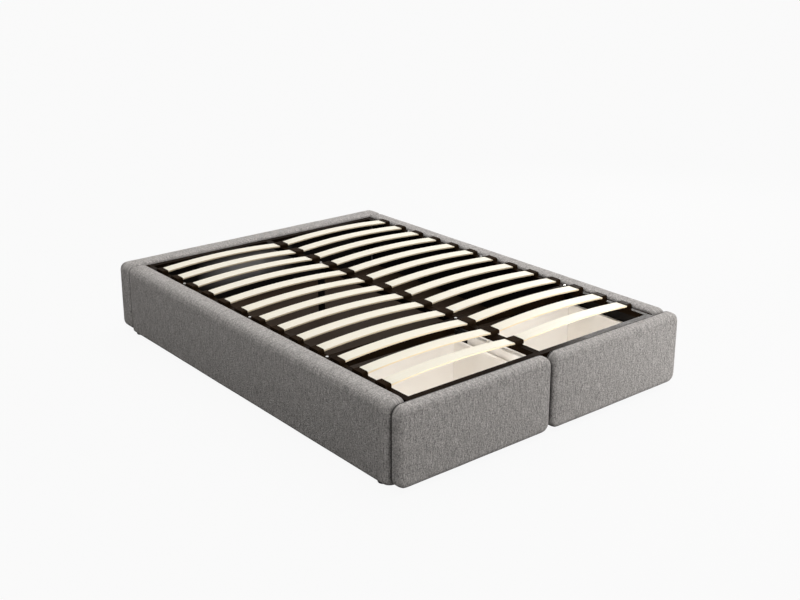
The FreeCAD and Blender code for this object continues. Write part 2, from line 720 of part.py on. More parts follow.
def centre_leg():
    """Round leg with a plate bolted up under the centre rail, standing on a pad."""
    top = "place.rail_low - size.leg_plate_thick"
    skin = rod("leg_skin", "size.leg_thick", "0", "place.leg_y", "size.leg_pad_height", top)
    xs = ("-size.rail_width / 2", "size.rail_width / 2")
    ys = ("place.leg_y - size.leg_plate_length / 2", "place.leg_y + size.leg_plate_length / 2")
    plate = block("leg_plate", xs, ys, (top, "place.rail_low"))
    low = "size.leg_pad_height - size.overrun"
    hollow = rod("leg_hollow", "size.leg_thick - 2 * size.leg_wall", "0", "place.leg_y", low, top)
    thick = "size.bolt_thick + 2 * size.bolt_play"
    drill_low = f"{top} - size.overrun"
    drill = rod("leg_plate_hole", thick, "0", "place.leg_y", drill_low, "place.rail_low + size.overrun")
    node(cut("centre_leg", fuse("leg_weldment", [skin, plate]), group("leg_drills", [hollow, drill])))
    node(rod("leg_pad", "size.leg_pad_thick", "0", "place.leg_y", "0", "size.leg_pad_height"))


def corner_feet():
    """Round glides under the ends of the side panels."""
    body = new_body("corner_foot")
    disc = raise_up(body, circle(body, "corner_foot_disc", "size.foot_thick"), "size.foot_height")
    soften(body, disc, [flat_face(disc, "Z", False)], "size.foot_round", "corner_foot_edge")
    pieces = []
    for name, side in SIDES:
        x = "size.base_width / 2 - size.foot_side_inset"
        x = x if side > 0 else minus(x)
        ends = (
            ("front", "place.side_front_y + size.foot_front_inset"),
            ("rear", "place.side_rear_y - size.foot_rear_inset"),
        )
        for end, y in ends:
            pieces.append(copy(f"{name}_{end}_foot", body, x, y))
    node(group("corner_feet", pieces))


def support_feet():
    """Plain feet under the partitions and under the cross battens."""
    thick = "size.support_foot_thick"
    pieces = []
    for end, y in (
        ("front", "place.partition_front_y + size.partition_foot_inset"),
        ("rear", "place.beam_front_y - size.partition_foot_inset"),
    ):
        pieces.append(rod(f"partition_{end}_foot", thick, "0", y, "0", "size.foot_height"))
    for end, y in (("front", "place.base_front_y"), ("middle", "place.base_middle_y")):
        for name, side in SIDES:
            x = f"place.batten_x * {BATTEN_FOOT_SHARE}"
            x = x if side > 0 else minus(x)
            middle = f"{y} + size.batten_width / 2"
            pieces.append(rod(f"{name}_{end}_batten_foot", thick, x, middle, "0", "size.batten_lift"))
    node(group("support_feet", pieces))


def base_floor():
    """Board behind the drawers, on battens along the panels and across the bed."""
    zs = ("size.batten_lift", "place.base_low")
    ys = ("place.base_front_y", "place.head_y")
    pieces = []
    for name, side in SIDES:
        pieces.append(block(f"{name}_batten", flip(side, "place.batten_x", "place.side_x"), ys, zs))
    across = ("-place.batten_x", "place.batten_x")
    for name, low in (
        ("front", "place.base_front_y"),
        ("middle", "place.base_middle_y"),
        ("rear", "place.head_y - size.batten_width"),
    ):
        pieces.append(block(f"{name}_batten", across, (low, f"{low} + size.batten_width"), zs))
    node(group("base_battens", pieces))
    board_zs = ("place.base_low", "place.base_low + size.base_thick")
    sheet = block("base_sheet", ("-place.side_x", "place.side_x"), ys, board_zs)
    thick = "size.leg_thick + 2 * size.base_leg_play"
    low = "place.base_low - size.overrun"
    high = f"{board_zs[1]} + size.overrun"
    node(cut("base_board", sheet, rod("base_leg_hole", thick, "0", "place.leg_y", low, high)))


# Drawers


def partitions():
    """Two boards between the drawers, each carrying a runner."""
    ys = ("place.partition_front_y", "place.beam_front_y")
    zs = ("size.foot_height", "place.rail_low - size.partition_clear")
    for name, side in SIDES:
        xs = flip(side, "size.partition_split / 2", "place.partition_x")
        node(block(f"{name}_partition", xs, ys, zs))


def channel(label, side, near, far, inset, open_near):
    """One C-shaped runner member, open towards the drawer or towards what carries the runner."""
    half = f"(size.runner_height / 2 - {inset})"
    ys = ("place.runner_front_y", "place.runner_front_y + size.runner_length")
    zs = (f"place.runner_mid_z - {half}", f"place.runner_mid_z + {half}")
    skin = block(f"{label}_skin", flip(side, near, far), ys, zs)
    if open_near:
        hollow_xs = flip(side, f"{near} - size.overrun", f"{far} - size.runner_wall")
    else:
        hollow_xs = flip(side, f"{near} + size.runner_wall", f"{far} + size.overrun")
    hollow_ys = (f"{ys[0]} - size.overrun", f"{ys[1]} + size.overrun")
    hollow_zs = (f"{zs[0]} + size.runner_wall", f"{zs[1]} - size.runner_wall")
    return cut(label, skin, block(f"{label}_hollow", hollow_xs, hollow_ys, hollow_zs))


def runners(name, side):
    """Runner pair of one drawer: fixed tracks, middle members and drawer members, nested in three."""
    step = "(size.runner_wall + size.runner_play)"
    members = {"tracks": [], "middles": [], "slides": []}
    carriers = (("inner", side, "place.partition_x"), ("outer", -side, "-place.side_x"))
    for end, facing, start in carriers:
        at = f"({start})"
        reach = f"{at} + size.runner_gap"
        label = f"{name}_{end}"
        lip = f"{reach} - {step}"
        track = channel(f"{label}_track", facing, at, lip, "0", False)
        middle = channel(f"{label}_middle", facing, f"{at} + {step}", lip, step, False)
        slide = channel(f"{label}_slide", facing, f"{at} + 2 * {step}", reach, f"2 * {step}", True)
        members["tracks"].append(track)
        members["middles"].append(middle)
        members["slides"].append(slide)
    for kind, pieces in members.items():
        node(group(f"{name}_runner_{kind}", pieces))


def drawer_front(name, side):
    """Padded front with its board; the drawer walls meet the board's inner face."""
    rounds = ("size.front_corner", "size.front_round", "size.front_back_round")
    panel = padding(
        f"{name}_front_upholstery",
        "place.front_width",
        "place.front_height",
        "size.front_thick",
        "size.front_board_thick",
        rounds,
    )
    turned(panel, FreeCAD.Vector(1, 0, 0), FreeCAD.Vector(0, -1, 0))
    x = "place.front_mid_x" if side > 0 else "-place.front_mid_x"
    node(move(panel, x, "place.front_back_y", "place.front_low"))
    reach = "(place.front_width / 2 - size.wrap)"
    xs = flip(side, f"place.front_mid_x - {reach}", f"place.front_mid_x + {reach}")
    ys = ("place.front_back_y - size.front_board_thick", "place.front_back_y")
    zs = ("place.front_low + size.wrap", "place.panel_top - size.wrap")
    node(block(f"{name}_front_board", xs, ys, zs))


def drawer_box(name, side):
    """White box of a drawer: two walls and a back, with the floor let into grooves."""
    ys = ("place.front_back_y", "place.drawer_rear_y")
    zs = ("size.drawer_lift", "place.drawer_top")
    inner_x = "place.drawer_inner_x + size.wall_thick"
    outer_x = "place.drawer_outer_x - size.wall_thick"
    back_ys = ("place.drawer_rear_y - size.wall_thick", "place.drawer_rear_y")
    reach = "(size.groove_depth - size.groove_play)"
    floor_xs = flip(side, f"{inner_x} - {reach}", f"{outer_x} + {reach}")
    floor_ys = (ys[0], f"{back_ys[0]} + {reach}")
    floor_zs = ("place.drawer_floor_low", "place.drawer_floor_low + size.drawer_floor_thick")
    node(block(f"{name}_drawer_floor", floor_xs, floor_ys, floor_zs))
    groove_xs = flip(side, f"{inner_x} - size.groove_depth", f"{outer_x} + size.groove_depth")
    groove_ys = (f"{ys[0]} - size.overrun", f"{back_ys[0]} + size.groove_depth")
    groove_zs = (f"{floor_zs[0]} - size.groove_play", f"{floor_zs[1]} + size.groove_play")
    walls = (
        ("inner_wall", flip(side, "place.drawer_inner_x", inner_x), ys),
        ("outer_wall", flip(side, outer_x, "place.drawer_outer_x"), ys),
        ("back", flip(side, inner_x, outer_x), back_ys),
    )
    for wall, wall_xs, wall_ys in walls:
        board = block(f"{name}_{wall}_board", wall_xs, wall_ys, zs)
        groove = block(f"{name}_{wall}_groove", groove_xs, groove_ys, groove_zs)
        node(cut(f"{name}_drawer_{wall}", board, groove))


def write_parts():
    """Check every object, then write each sub-part."""
    doc.recompute()
    for item in doc.Objects:
        if "Invalid" in item.State or "Error" in item.State:
            raise RuntimeError(f"{item.Label} is {item.State}")
    for item in nodes:
        if item.Shape.isNull() or not item.Shape.isValid():
            raise RuntimeError(f"{item.Label} has no valid shape")
    os.makedirs("parts", exist_ok=True)
    for item in nodes:
        item.Shape.exportStep(f"parts/{item.Label}.step")
    print(len(nodes), "sub-parts")


side_panels()
head_panel()
rails()
cross_beam()
rail_brackets()
corner_brackets()
frame_bolts()
slat_holders()
slat_rows()
centre_leg()
corner_feet()
support_feet()
base_floor()
partitions()
for name, side in SIDES:
    runners(name, side)
    drawer_front(name, side)
    drawer_box(name, side)
write_parts()
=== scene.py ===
import json
import math

import bmesh
import bpy
import numpy as np
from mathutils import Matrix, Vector, noise


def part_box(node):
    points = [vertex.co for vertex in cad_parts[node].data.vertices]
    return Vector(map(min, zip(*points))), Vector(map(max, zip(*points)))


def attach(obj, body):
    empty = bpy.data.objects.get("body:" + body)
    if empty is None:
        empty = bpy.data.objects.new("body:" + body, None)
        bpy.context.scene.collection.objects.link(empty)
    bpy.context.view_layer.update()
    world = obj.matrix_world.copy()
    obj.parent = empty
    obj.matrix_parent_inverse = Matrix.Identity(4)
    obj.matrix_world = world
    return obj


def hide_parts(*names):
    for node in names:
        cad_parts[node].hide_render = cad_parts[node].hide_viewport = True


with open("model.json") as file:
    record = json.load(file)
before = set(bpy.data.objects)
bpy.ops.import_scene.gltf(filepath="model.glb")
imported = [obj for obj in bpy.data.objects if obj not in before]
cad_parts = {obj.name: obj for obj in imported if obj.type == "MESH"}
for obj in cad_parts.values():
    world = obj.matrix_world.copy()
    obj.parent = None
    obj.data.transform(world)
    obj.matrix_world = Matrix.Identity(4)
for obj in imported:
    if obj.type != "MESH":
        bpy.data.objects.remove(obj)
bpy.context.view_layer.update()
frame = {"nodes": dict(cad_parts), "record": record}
nodes = frame["nodes"]

# Lengths are in metres, angles in degrees and colours in linear light.

# Camera that took the photograph
CAMERA_PLACE = (-3.1756, -4.0314, 2.1321)
CAMERA_AZIMUTH = 39.189
CAMERA_DOWN = 16.906
CAMERA_LENS_MM = 51.999
CAMERA_SENSOR_MM = 36.0
CAMERA_SHIFT = -0.075

# Light: a level of 1 shows a colour as it is written
SKY_LEVEL = 0.09
LAMP_TINT = (1.0, 0.985, 0.965)
SUNS = (
    # Name, direction it comes from, spread, level
    ("rear_sun", (0.5, 0.2, 1.0), 60.0, 0.54),
    ("front_sun", (-0.22, -0.5, 1.0), 40.0, 0.47),
)
LAMPS = (
    # Name, place, target, width, height, level at the target
    ("near_right_box", (1.1, -2.4, 0.5), (0.6, -1.1, 0.2), 0.6, 0.6, 0.52),
    ("right_rear_box", (3.6, 1.42, 1.77), (0.55, -1.0, 0.337), 0.9, 0.25, 0.22),
    ("right_over_box", (1.4, -0.2, 1.6), (0.72, -0.1, 0.35), 0.6, 1.8, 0.13),
    ("partition_box", (0.0, -0.8, 0.334), (0.0, -0.8, 0.0), 0.2, 0.5, 0.16),
    ("left_drawer_box", (-0.36, -1.03, 0.285), (-0.36, -0.57, 0.16), 0.58, 0.04, 0.32),
    ("right_drawer_box", (0.36, -1.03, 0.285), (0.36, -0.57, 0.16), 0.58, 0.04, 0.34),
)

# Floor and background
WHITE = (1, 1, 1, 1)
FLOOR_REACH = 60.0
FLOOR_TONE = (0.36, 0.36, 0.36)
FLOOR_GLOW_SHARE = 0.93

# Padding: its inner side is held up to a depth, and beyond a fade the cover is free to swell
PAD_VOXEL = 0.008
PAD_HELD = 0.012
PAD_FADE = 0.02
POCKET_PLAY = 0.0003

# Cloth simulation of the covers; the rise at a high percentile counts as the full rise
PAD_SHRINK = 0.0005
PAD_PRESSURE = 4.0
PAD_QUALITY = 3
PAD_FRAMES = 16
PAD_RISE = 0.005
PAD_FULL_PERCENTILE = 99
PAD_EVENING = 12

# Waves in the covers, with so many features per metre
WAVE_DEPTH = 0.0008
LONG_WAVES = 4.5
SHORT_WAVES = 13.0
SHORT_WAVE_SHARE = 0.4

# Folds in the covers of the drawer fronts
CREASE_DEPTH = 0.0016
CREASE_WIDTH = 0.006
CREASE_MARGIN = 0.01
CREASES = {
    # Panel: upper and lower end of a fold, across and up
    "left_front": ((-0.373, 0.352), (-0.351, 0.306)),
    "right_front": ((0.270, 0.352), (0.279, 0.330)),
}
PANELS = (
    # Name, body it rides on, direction it faces, radius of its edges, start of its waves, fabric
    ("left_side", "bed_frame", (-1, 0, 0), 0.037, 1.0, "woven_fabric"),
    ("right_side", "bed_frame", (1, 0, 0), 0.037, 2.0, "woven_fabric"),
    ("head", "bed_frame", (0, 1, 0), 0.028, 3.0, "woven_fabric"),
    ("left_front", "left_drawer", (0, -1, 0), 0.025, 4.0, "front_fabric"),
    ("right_front", "right_drawer", (0, -1, 0), 0.025, 5.0, "front_fabric"),
)

# Fabric: colours of its dark and light yarns, relief of its slubs, and the shade painted into its colour in
# narrow gaps
YARN_DARK = (0.235, 0.2250, 0.2195)
YARN_LIGHT = (0.70, 0.671, 0.656)
SLUB_RELIEF = 0.0085
SHEEN_TINT = (1.0, 0.97, 0.94, 1.0)
GAP_PAINTED_SHADE = (0.03, 0.0285, 0.0275)
GAP_REACH = 0.05
GAP_RAYS = 6
GAP_CLOSED, GAP_OPEN = 0.15, 0.75

# Weave: the name of its map, the pitch of its threads, and the depth of the skin on a panel's back
WEAVE = "weave"
WEAVE_PITCH = 0.0022
WEAVE_SHARE = 0.12
THREAD_UNDER = 0.55
BACK_SKIN = 0.003

# Depths of the bed behind which the drawer fronts have a black lining and the partitions are painted black
# as shade
LINING_AND_SHADE_BLACK = (0.012, 0.011, 0.0105)
FRONT_LINING = -1.067
PARTITION_SHADE_START = -0.619
COLOUR_EDGE = 0.001

# Lining of the boards, and where that of the head has a grey patch of painted light
FIBRE_DARK = (0.009, 0.008, 0.0075)
FIBRE_LIGHT = (0.024, 0.021, 0.019)
LINING_PAINTED_LIGHT = (0.40, 0.395, 0.40)
PAINTED_LIGHT_MIDDLE = -0.12
PAINTED_LIGHT_NONE, PAINTED_LIGHT_FULL = 0.30, 0.08
PAINTED_LIGHT_LOW, PAINTED_LIGHT_HIGH = 0.12, 0.19

# Birch plywood of the slats
BIRCH_PALE = (0.84, 0.812, 0.712)
BIRCH_GRAIN = (0.825, 0.775, 0.655)
BIRCH_FIGURE = (0.835, 0.795, 0.685)
BIRCH_TINT = (0.825, 0.77, 0.65)
PLY_DARK = (0.94, 0.78, 0.53)
PLY_LIGHT = (0.97, 0.85, 0.64)
PLY_PITCH = 0.0032
FACE_PLY_LOW, FACE_PLY_HIGH = 0.0004, 0.0009
COLUMN_STEP = 40.3
SLAT_END_SLICE = 0.0002

# White boards and the brown base board
MELAMINE_DULL = (0.90, 0.865, 0.82)
MELAMINE_CLEAR = (0.93, 0.90, 0.86)
BOARD_DARK = (0.026, 0.016, 0.0093)
BOARD_LIGHT = (0.042, 0.027, 0.0165)
BOARD_FLECK = (0.02, 0.012, 0.007)

COATS = (
    # Slot, name, colour, roughness, specular level, grains of its skin per metre
    ("frame_steel", "brown_powder_coat", (0.0105, 0.0061, 0.0033), 0.22, 0.006, 900),
    ("holder_plastic", "brown_plastic", (0.018, 0.0104, 0.0054), 0.30, 0.003, 1600),
    ("black_plastic", "black_plastic", (0.012, 0.012, 0.012), 0.5, 0.1, 1600),
    ("black_steel", "black_powder_coat", (0.012, 0.011, 0.0105), 0.4, 0.1, 900),
)
STEELS = (
    # Slot, name, colour, roughness, streaks per metre on each axis
    ("zinc_bolt", "bright_zinc", (0.78, 0.77, 0.75), 0.28, (300, 300, 300)),
    ("runner_steel", "runner_zinc", (0.62, 0.62, 0.62), 0.34, (500, 8, 500)),
)

# Eased edges of boards and slats, and reaches within which double points are joined
BOARD_EASE = 0.0008
SLAT_EASE = 0.002
EASE_SEGMENTS = 2
EASE_ANGLE = 40.0
EASE_WELD = 1e-5
HULL_WELD = 1e-6


# Points of meshes


def points_of(mesh):
    flat = np.empty(len(mesh.vertices) * 3)
    mesh.vertices.foreach_get("co", flat)
    return flat.reshape(-1, 3)


def set_points(mesh, points):
    mesh.vertices.foreach_set("co", np.ascontiguousarray(points, np.float32).ravel())
    mesh.update()


def normals_of(mesh):
    flat = np.empty(len(mesh.vertices) * 3)
    mesh.vertices.foreach_get("normal", flat)
    return flat.reshape(-1, 3)


# Node materials


class Finish:
    """A material under construction: inputs take plain values or the outputs of other nodes."""

    def __init__(self, name):
        self.material = bpy.data.materials.new(name)
        self.material.use_nodes = True
        self.tree = self.material.node_tree
        self.surface = self.tree.nodes["Principled BSDF"]

    def put(self, socket, value):
        if isinstance(value, bpy.types.NodeSocket):
            self.tree.links.new(value, socket)
        else:
            socket.default_value = value

    def add(self, kind, inputs=(), **settings):
        node = self.tree.nodes.new(f"ShaderNode{kind}")
        for name, value in settings.items():
            setattr(node, name, value)
        for name, value in dict(inputs).items():
            self.put(node.inputs[name], value)
        return node

    def shine(self, **inputs):
        """Set inputs of the surface, named in lower case with underscores."""
        names = {socket.name.lower().replace(" ", "_"): socket for socket in self.surface.inputs}
        for name, value in inputs.items():
            self.put(names[name], value)

    def place(self):
        return self.add("TexCoord").outputs["Object"]

    def stretched(self, vector, factors):
        return self.add("VectorMath", {0: vector, 1: factors}, operation="MULTIPLY").outputs[0]

    def noise(self, vector, factors, detail=2.0, roughness=0.5, distortion=0.0):
        """Noise with so many features per metre on each axis."""
        settings = {
            "Vector": self.stretched(vector, factors),
            "Scale": 1.0,
            "Detail": detail,
            "Roughness": roughness,
            "Distortion": distortion,
        }
        return self.add("TexNoise", settings).outputs[0]

    def math(self, operation, *values):
        return self.add("Math", dict(enumerate(values)), operation=operation).outputs[0]

    def total(self, *shares):
        """Sum of pairs of a weight and an output."""
        result = None
        for weight, output in shares:
            part = self.math("MULTIPLY", output, weight)
            result = part if result is None else self.math("ADD", result, part)
        return result

    def split(self, vector):
        return self.add("SeparateXYZ", {0: vector}).outputs

    def span(self, value, low, high, to_low=0.0, to_high=1.0):
        """Carry a value from one range over to another, and keep it within that."""
        inputs = {"Value": value, "From Min": low, "From Max": high, "To Min": to_low, "To Max": to_high}
        return self.add("MapRange", inputs).outputs[0]

    def blend(self, share, first, second):
        """Mix two colours; a share of 1 gives the second."""
        mix = self.add("Mix", data_type="RGBA")
        self.put(mix.inputs[0], share)
        self.put(mix.inputs[6], (*first, 1) if isinstance(first, tuple) else first)
        self.put(mix.inputs[7], (*second, 1) if isinstance(second, tuple) else second)
        return mix.outputs[2]

    def black_behind(self, colour, depth):
        """The colour as far as a depth of the bed, and black behind it: a lining on the drawer fronts,
        painted shade on the partitions.
        """
        y = self.split(self.place())[1]
        return self.blend(self.span(y, depth - COLOUR_EDGE, depth + COLOUR_EDGE), colour, LINING_AND_SHADE_BLACK)

    def bump(self, height, distance, strength=1.0):
        inputs = {"Height": height, "Distance": distance, "Strength": strength}
        return self.add("Bump", inputs).outputs[0]


def scaled(colour, factor):
    return tuple(channel * factor for channel in colour)


def weave_height(finish, cloth):
    """Height of a plain weave: upright and level threads pass over each other by turns."""
    across, up, _ = finish.split(finish.stretched(cloth, (1 / WEAVE_PITCH, 1 / WEAVE_PITCH, 1)))
    upright = finish.math("ABSOLUTE", finish.math("SINE", finish.math("MULTIPLY", across, math.pi)))
    level = finish.math("ABSOLUTE", finish.math("SINE", finish.math("MULTIPLY", up, math.pi)))
    cell = finish.math("ADD", finish.math("FLOOR", across), finish.math("FLOOR", up))
    over = finish.math("MODULO", finish.math("ABSOLUTE", cell), 2.0)
    upright = finish.math("MULTIPLY", upright, finish.span(over, 0, 1, THREAD_UNDER, 1.0))
    level = finish.math("MULTIPLY", level, finish.span(over, 0, 1, 1.0, THREAD_UNDER))
    return finish.math("MAXIMUM", upright, level)


def fabric_look(finish, cloth):
    """Warm grey woven cloth with upright slubs and finer yarns; returns its colour and its height."""
    slubs = finish.noise(cloth, (90, 18, 1), detail=3.0, roughness=0.6)
    yarns = finish.noise(cloth, (260, 65, 1), roughness=0.6)
    specks = finish.noise(cloth, (160, 150, 1), roughness=0.6)
    tone = finish.total((0.26, slubs), (0.30, yarns), (0.44, specks))
    colour = finish.blend(finish.span(tone, 0.40, 0.60), YARN_DARK, YARN_LIGHT)
    return colour, finish.total((WEAVE_SHARE, weave_height(finish, cloth)), (1.0, tone))


def woven_fabric(name, lining=None):
    """Fabric with shade painted into its colour in narrow gaps; behind a given depth of the bed it is a
    black lining.
    """
    finish = Finish(name)
    cloth = finish.add("UVMap", uv_map=WEAVE).outputs["UV"]
    colour, height = fabric_look(finish, cloth)
    # Painted shade: ambient occlusion darkens the colour where the cloth faces other parts close by
    gap = finish.add("AmbientOcclusion", {"Distance": GAP_REACH}, samples=GAP_RAYS).outputs["AO"]
    colour = finish.blend(finish.span(gap, GAP_CLOSED, GAP_OPEN), GAP_PAINTED_SHADE, colour)
    if lining is not None:
        colour = finish.black_behind(colour, lining)
    finish.shine(
        base_color=colour,
        roughness=0.92,
        specular_ior_level=0.1,
        sheen_weight=0.2,
        sheen_roughness=0.5,
        sheen_tint=SHEEN_TINT,
        normal=finish.bump(height, SLUB_RELIEF),
    )
    return finish.material


def slat_arc():
    """Middle, centre height and upper radius of the bowed slats, read from one row."""
    points = points_of(nodes["slat_row_01"].data)
    points = points[points[:, 0] > 0]
    middle = (points[:, 0].min() + points[:, 0].max()) / 2
    crown = points[:, 2].max()
    end = points[points[:, 0] > points[:, 0].max() - SLAT_END_SLICE]
    reach = end[:, 0].max() - middle
    drop = crown - end[:, 2].max()
    outer = (reach**2 + drop**2) / (2 * drop)
    return middle, crown - outer, outer


def birch():
    """Pale lacquered birch plywood: long grain on the faces, plies on the edges."""
    finish = Finish("birch_slat")
    x, y, z = finish.split(finish.place())
    middle, centre, outer = slat_arc()
    pitch = (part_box("slat_row_01")[0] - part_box("slat_row_02")[0]).y

    # A random value for each slat
    row = finish.math("FLOOR", finish.math("DIVIDE", y, pitch))
    number = finish.math("ADD", row, finish.math("MULTIPLY", finish.math("SIGN", x), COLUMN_STEP))
    piece = finish.add("TexWhiteNoise", {"W": number}, noise_dimensions="1D").outputs[0]

    # Grain of the faces
    shifted = finish.add("CombineXYZ", {0: x, 1: y, 2: finish.math("ADD", z, piece)}).outputs[0]
    grain = finish.noise(shifted, (5, 190, 60), detail=4.0, roughness=0.62, distortion=0.4)
    figure = finish.noise(shifted, (2.2, 34, 12), distortion=0.8)
    pores = finish.noise(shifted, (30, 900, 300), detail=1.0)
    face = finish.blend(finish.span(grain, 0.35, 0.68), BIRCH_PALE, BIRCH_GRAIN)
    face = finish.blend(finish.span(figure, 0.42, 0.72, 0.0, 0.5), face, BIRCH_FIGURE)
    face = finish.blend(finish.span(piece, 0, 1, 0.0, 0.25), face, BIRCH_TINT)

    # Plies follow the depth under the bowed upper face
    side = finish.math("SUBTRACT", finish.math("ABSOLUTE", x), middle)
    rise = finish.math("SUBTRACT", z, centre)
    square = finish.math("ADD", finish.math("POWER", side, 2.0), finish.math("POWER", rise, 2.0))
    depth = finish.math("SUBTRACT", outer, finish.math("SQRT", square))
    ply = finish.math("SINE", finish.math("MULTIPLY", depth, 2 * math.pi / PLY_PITCH))
    edge = finish.blend(finish.span(ply, -0.6, 0.6), PLY_DARK, PLY_LIGHT)

    finish.shine(
        base_color=finish.blend(finish.span(depth, FACE_PLY_LOW, FACE_PLY_HIGH), face, edge),
        roughness=finish.span(grain, 0.3, 0.7, 0.42, 0.54),
        specular_ior_level=0.2,
        normal=finish.bump(finish.total((0.6, grain), (0.5, pores)), 0.00025, strength=0.4),
    )
    return finish.material


def coated(name, colour, roughness, specular, peel):
    """Powder coat or moulded plastic: an even colour with a fine skin and slight cloudiness."""
    finish = Finish(name)
    place = finish.place()
    skin = finish.noise(place, (peel,) * 3)
    clouds = finish.noise(place, (9, 9, 9), detail=3.0)
    finish.shine(
        base_color=finish.blend(finish.span(clouds, 0.35, 0.65), scaled(colour, 0.8), scaled(colour, 1.25)),
        roughness=finish.span(clouds, 0.3, 0.7, roughness - 0.05, roughness + 0.05),
        specular_ior_level=specular,
        normal=finish.bump(skin, 0.00006, strength=0.6),
    )
    return finish.material


def bright_steel(name, colour, roughness, brush):
    """Zinc plate, brushed along the axis with the fewest streaks per metre."""
    finish = Finish(name)
    place = finish.place()
    streaks = finish.noise(place, brush, detail=3.0, roughness=0.6)
    bloom = finish.noise(place, (60, 60, 60), detail=3.0)
    finish.shine(
        base_color=finish.blend(finish.span(bloom, 0.35, 0.7), colour, scaled(colour, 0.78)),
        metallic=1.0,
        roughness=finish.span(streaks, 0.3, 0.7, roughness - 0.08, roughness + 0.1),
        normal=finish.bump(streaks, 0.00004, strength=0.5),
    )
    return finish.material


def white_melamine(name, end=None):
    """Warm white board: fine pearl embossing and a faint unevenness; behind a given depth it is painted
    black as shade.
    """
    finish = Finish(name)
    place = finish.place()
    pearl = finish.noise(place, (1100, 1100, 1100))
    clouds = finish.noise(place, (6, 6, 6), detail=3.0)
    colour = finish.blend(finish.span(clouds, 0.3, 0.7), MELAMINE_DULL, MELAMINE_CLEAR)
    # Painted shade: behind the given depth the board is coloured black as if in shadow
    if end is not None:
        colour = finish.black_behind(colour, end)
    finish.shine(
        base_color=colour,
        roughness=finish.span(pearl, 0.3, 0.7, 0.40, 0.52),
        specular_ior_level=0.3,
        normal=finish.bump(pearl, 0.00004, strength=0.5),
    )
    return finish.material


def brown_board():
    """Dark brown printed board with a wood figure along the bed's width."""
    finish = Finish("brown_board")
    place = finish.place()
    figure = finish.noise(place, (2.5, 40, 20), detail=4.0, roughness=0.6, distortion=0.6)
    fleck = finish.noise(place, (30, 500, 300))
    colour = finish.blend(finish.span(figure, 0.3, 0.7), BOARD_DARK, BOARD_LIGHT)
    finish.shine(
        base_color=finish.blend(finish.span(fleck, 0.5, 0.8, 0.0, 0.5), colour, BOARD_FLECK),
        roughness=finish.span(figure, 0.3, 0.7, 0.5, 0.64),
        specular_ior_level=0.1,
        normal=finish.bump(fleck, 0.00008, strength=0.4),
    )
    return finish.material


def board_lining(name, painted_light=False):
    """Black non-woven lining of short fibres pressed flat; the head's lining gets a grey patch of painted
    light about its middle.
    """
    finish = Finish(name)
    place = finish.place()
    fibres = finish.noise(place, (500, 500, 500), detail=3.0, roughness=0.65, distortion=1.5)
    dots = finish.add("TexVoronoi", {"Vector": place, "Scale": 330.0}).outputs["Distance"]
    height = finish.math("SUBTRACT", fibres, finish.math("MULTIPLY", dots, 0.4))
    colour = finish.blend(finish.span(fibres, 0.35, 0.7), FIBRE_DARK, FIBRE_LIGHT)
    # Painted light: a grey patch about the middle, fading out sideways and downwards
    if painted_light:
        x, _, z = finish.split(place)
        away = finish.math("ABSOLUTE", finish.math("SUBTRACT", x, PAINTED_LIGHT_MIDDLE))
        near = finish.span(away, PAINTED_LIGHT_NONE, PAINTED_LIGHT_FULL)
        share = finish.math("MULTIPLY", near, finish.span(z, PAINTED_LIGHT_LOW, PAINTED_LIGHT_HIGH))
        colour = finish.blend(share, colour, LINING_PAINTED_LIGHT)
    finish.shine(
        base_color=colour,
        roughness=0.9,
        specular_ior_level=0.05,
        normal=finish.bump(height, 0.0002, strength=0.6),
    )
    return finish.material


# Padded panels


def hull_of(node, name):
    """A new mesh object with the outer shape of a padded solid, its pocket filled."""
    mesh = bpy.data.meshes.new(name)
    shape = bmesh.new()
    shape.from_mesh(nodes[node].data)
    bmesh.ops.remove_doubles(shape, verts=shape.verts, dist=HULL_WELD)
    result = bmesh.ops.convex_hull(shape, input=shape.verts)
    inside = [item for item in result["geom_interior"] if isinstance(item, bmesh.types.BMVert)]
    bmesh.ops.delete(shape, geom=inside, context="VERTS")
    shape.to_mesh(mesh)
    shape.free()
    piece = bpy.data.objects.new(name, mesh)
    bpy.context.scene.collection.objects.link(piece)
    return piece


def apply_modifiers(piece):
    """Replace the piece's mesh by what its modifiers make of it."""
    bpy.context.view_layer.update()
    graph = bpy.context.evaluated_depsgraph_get()
    mesh = bpy.data.meshes.new_from_object(piece.evaluated_get(graph))
    piece.modifiers.clear()
    piece.data = mesh


def remesh(piece):
    voxels = piece.modifiers.new("voxels", "REMESH")
    voxels.mode = "VOXEL"
    voxels.voxel_size = PAD_VOXEL
    apply_modifiers(piece)


def subdivide(piece):
    piece.modifiers.new("finer", "SUBSURF").levels = 1
    apply_modifiers(piece)


def evened(mesh, values):
    """Values on the points of a mesh, averaged several times with their neighbours."""
    ends = np.empty(len(mesh.edges) * 2, np.int32)
    mesh.edges.foreach_get("vertices", ends)
    first, second = ends.reshape(-1, 2).T
    count = np.bincount(ends, minlength=len(values))
    for _ in range(PAD_EVENING):
        around = np.bincount(first, values[second], len(values))
        around += np.bincount(second, values[first], len(values))
        values = (values + around / count) / 2
    return values


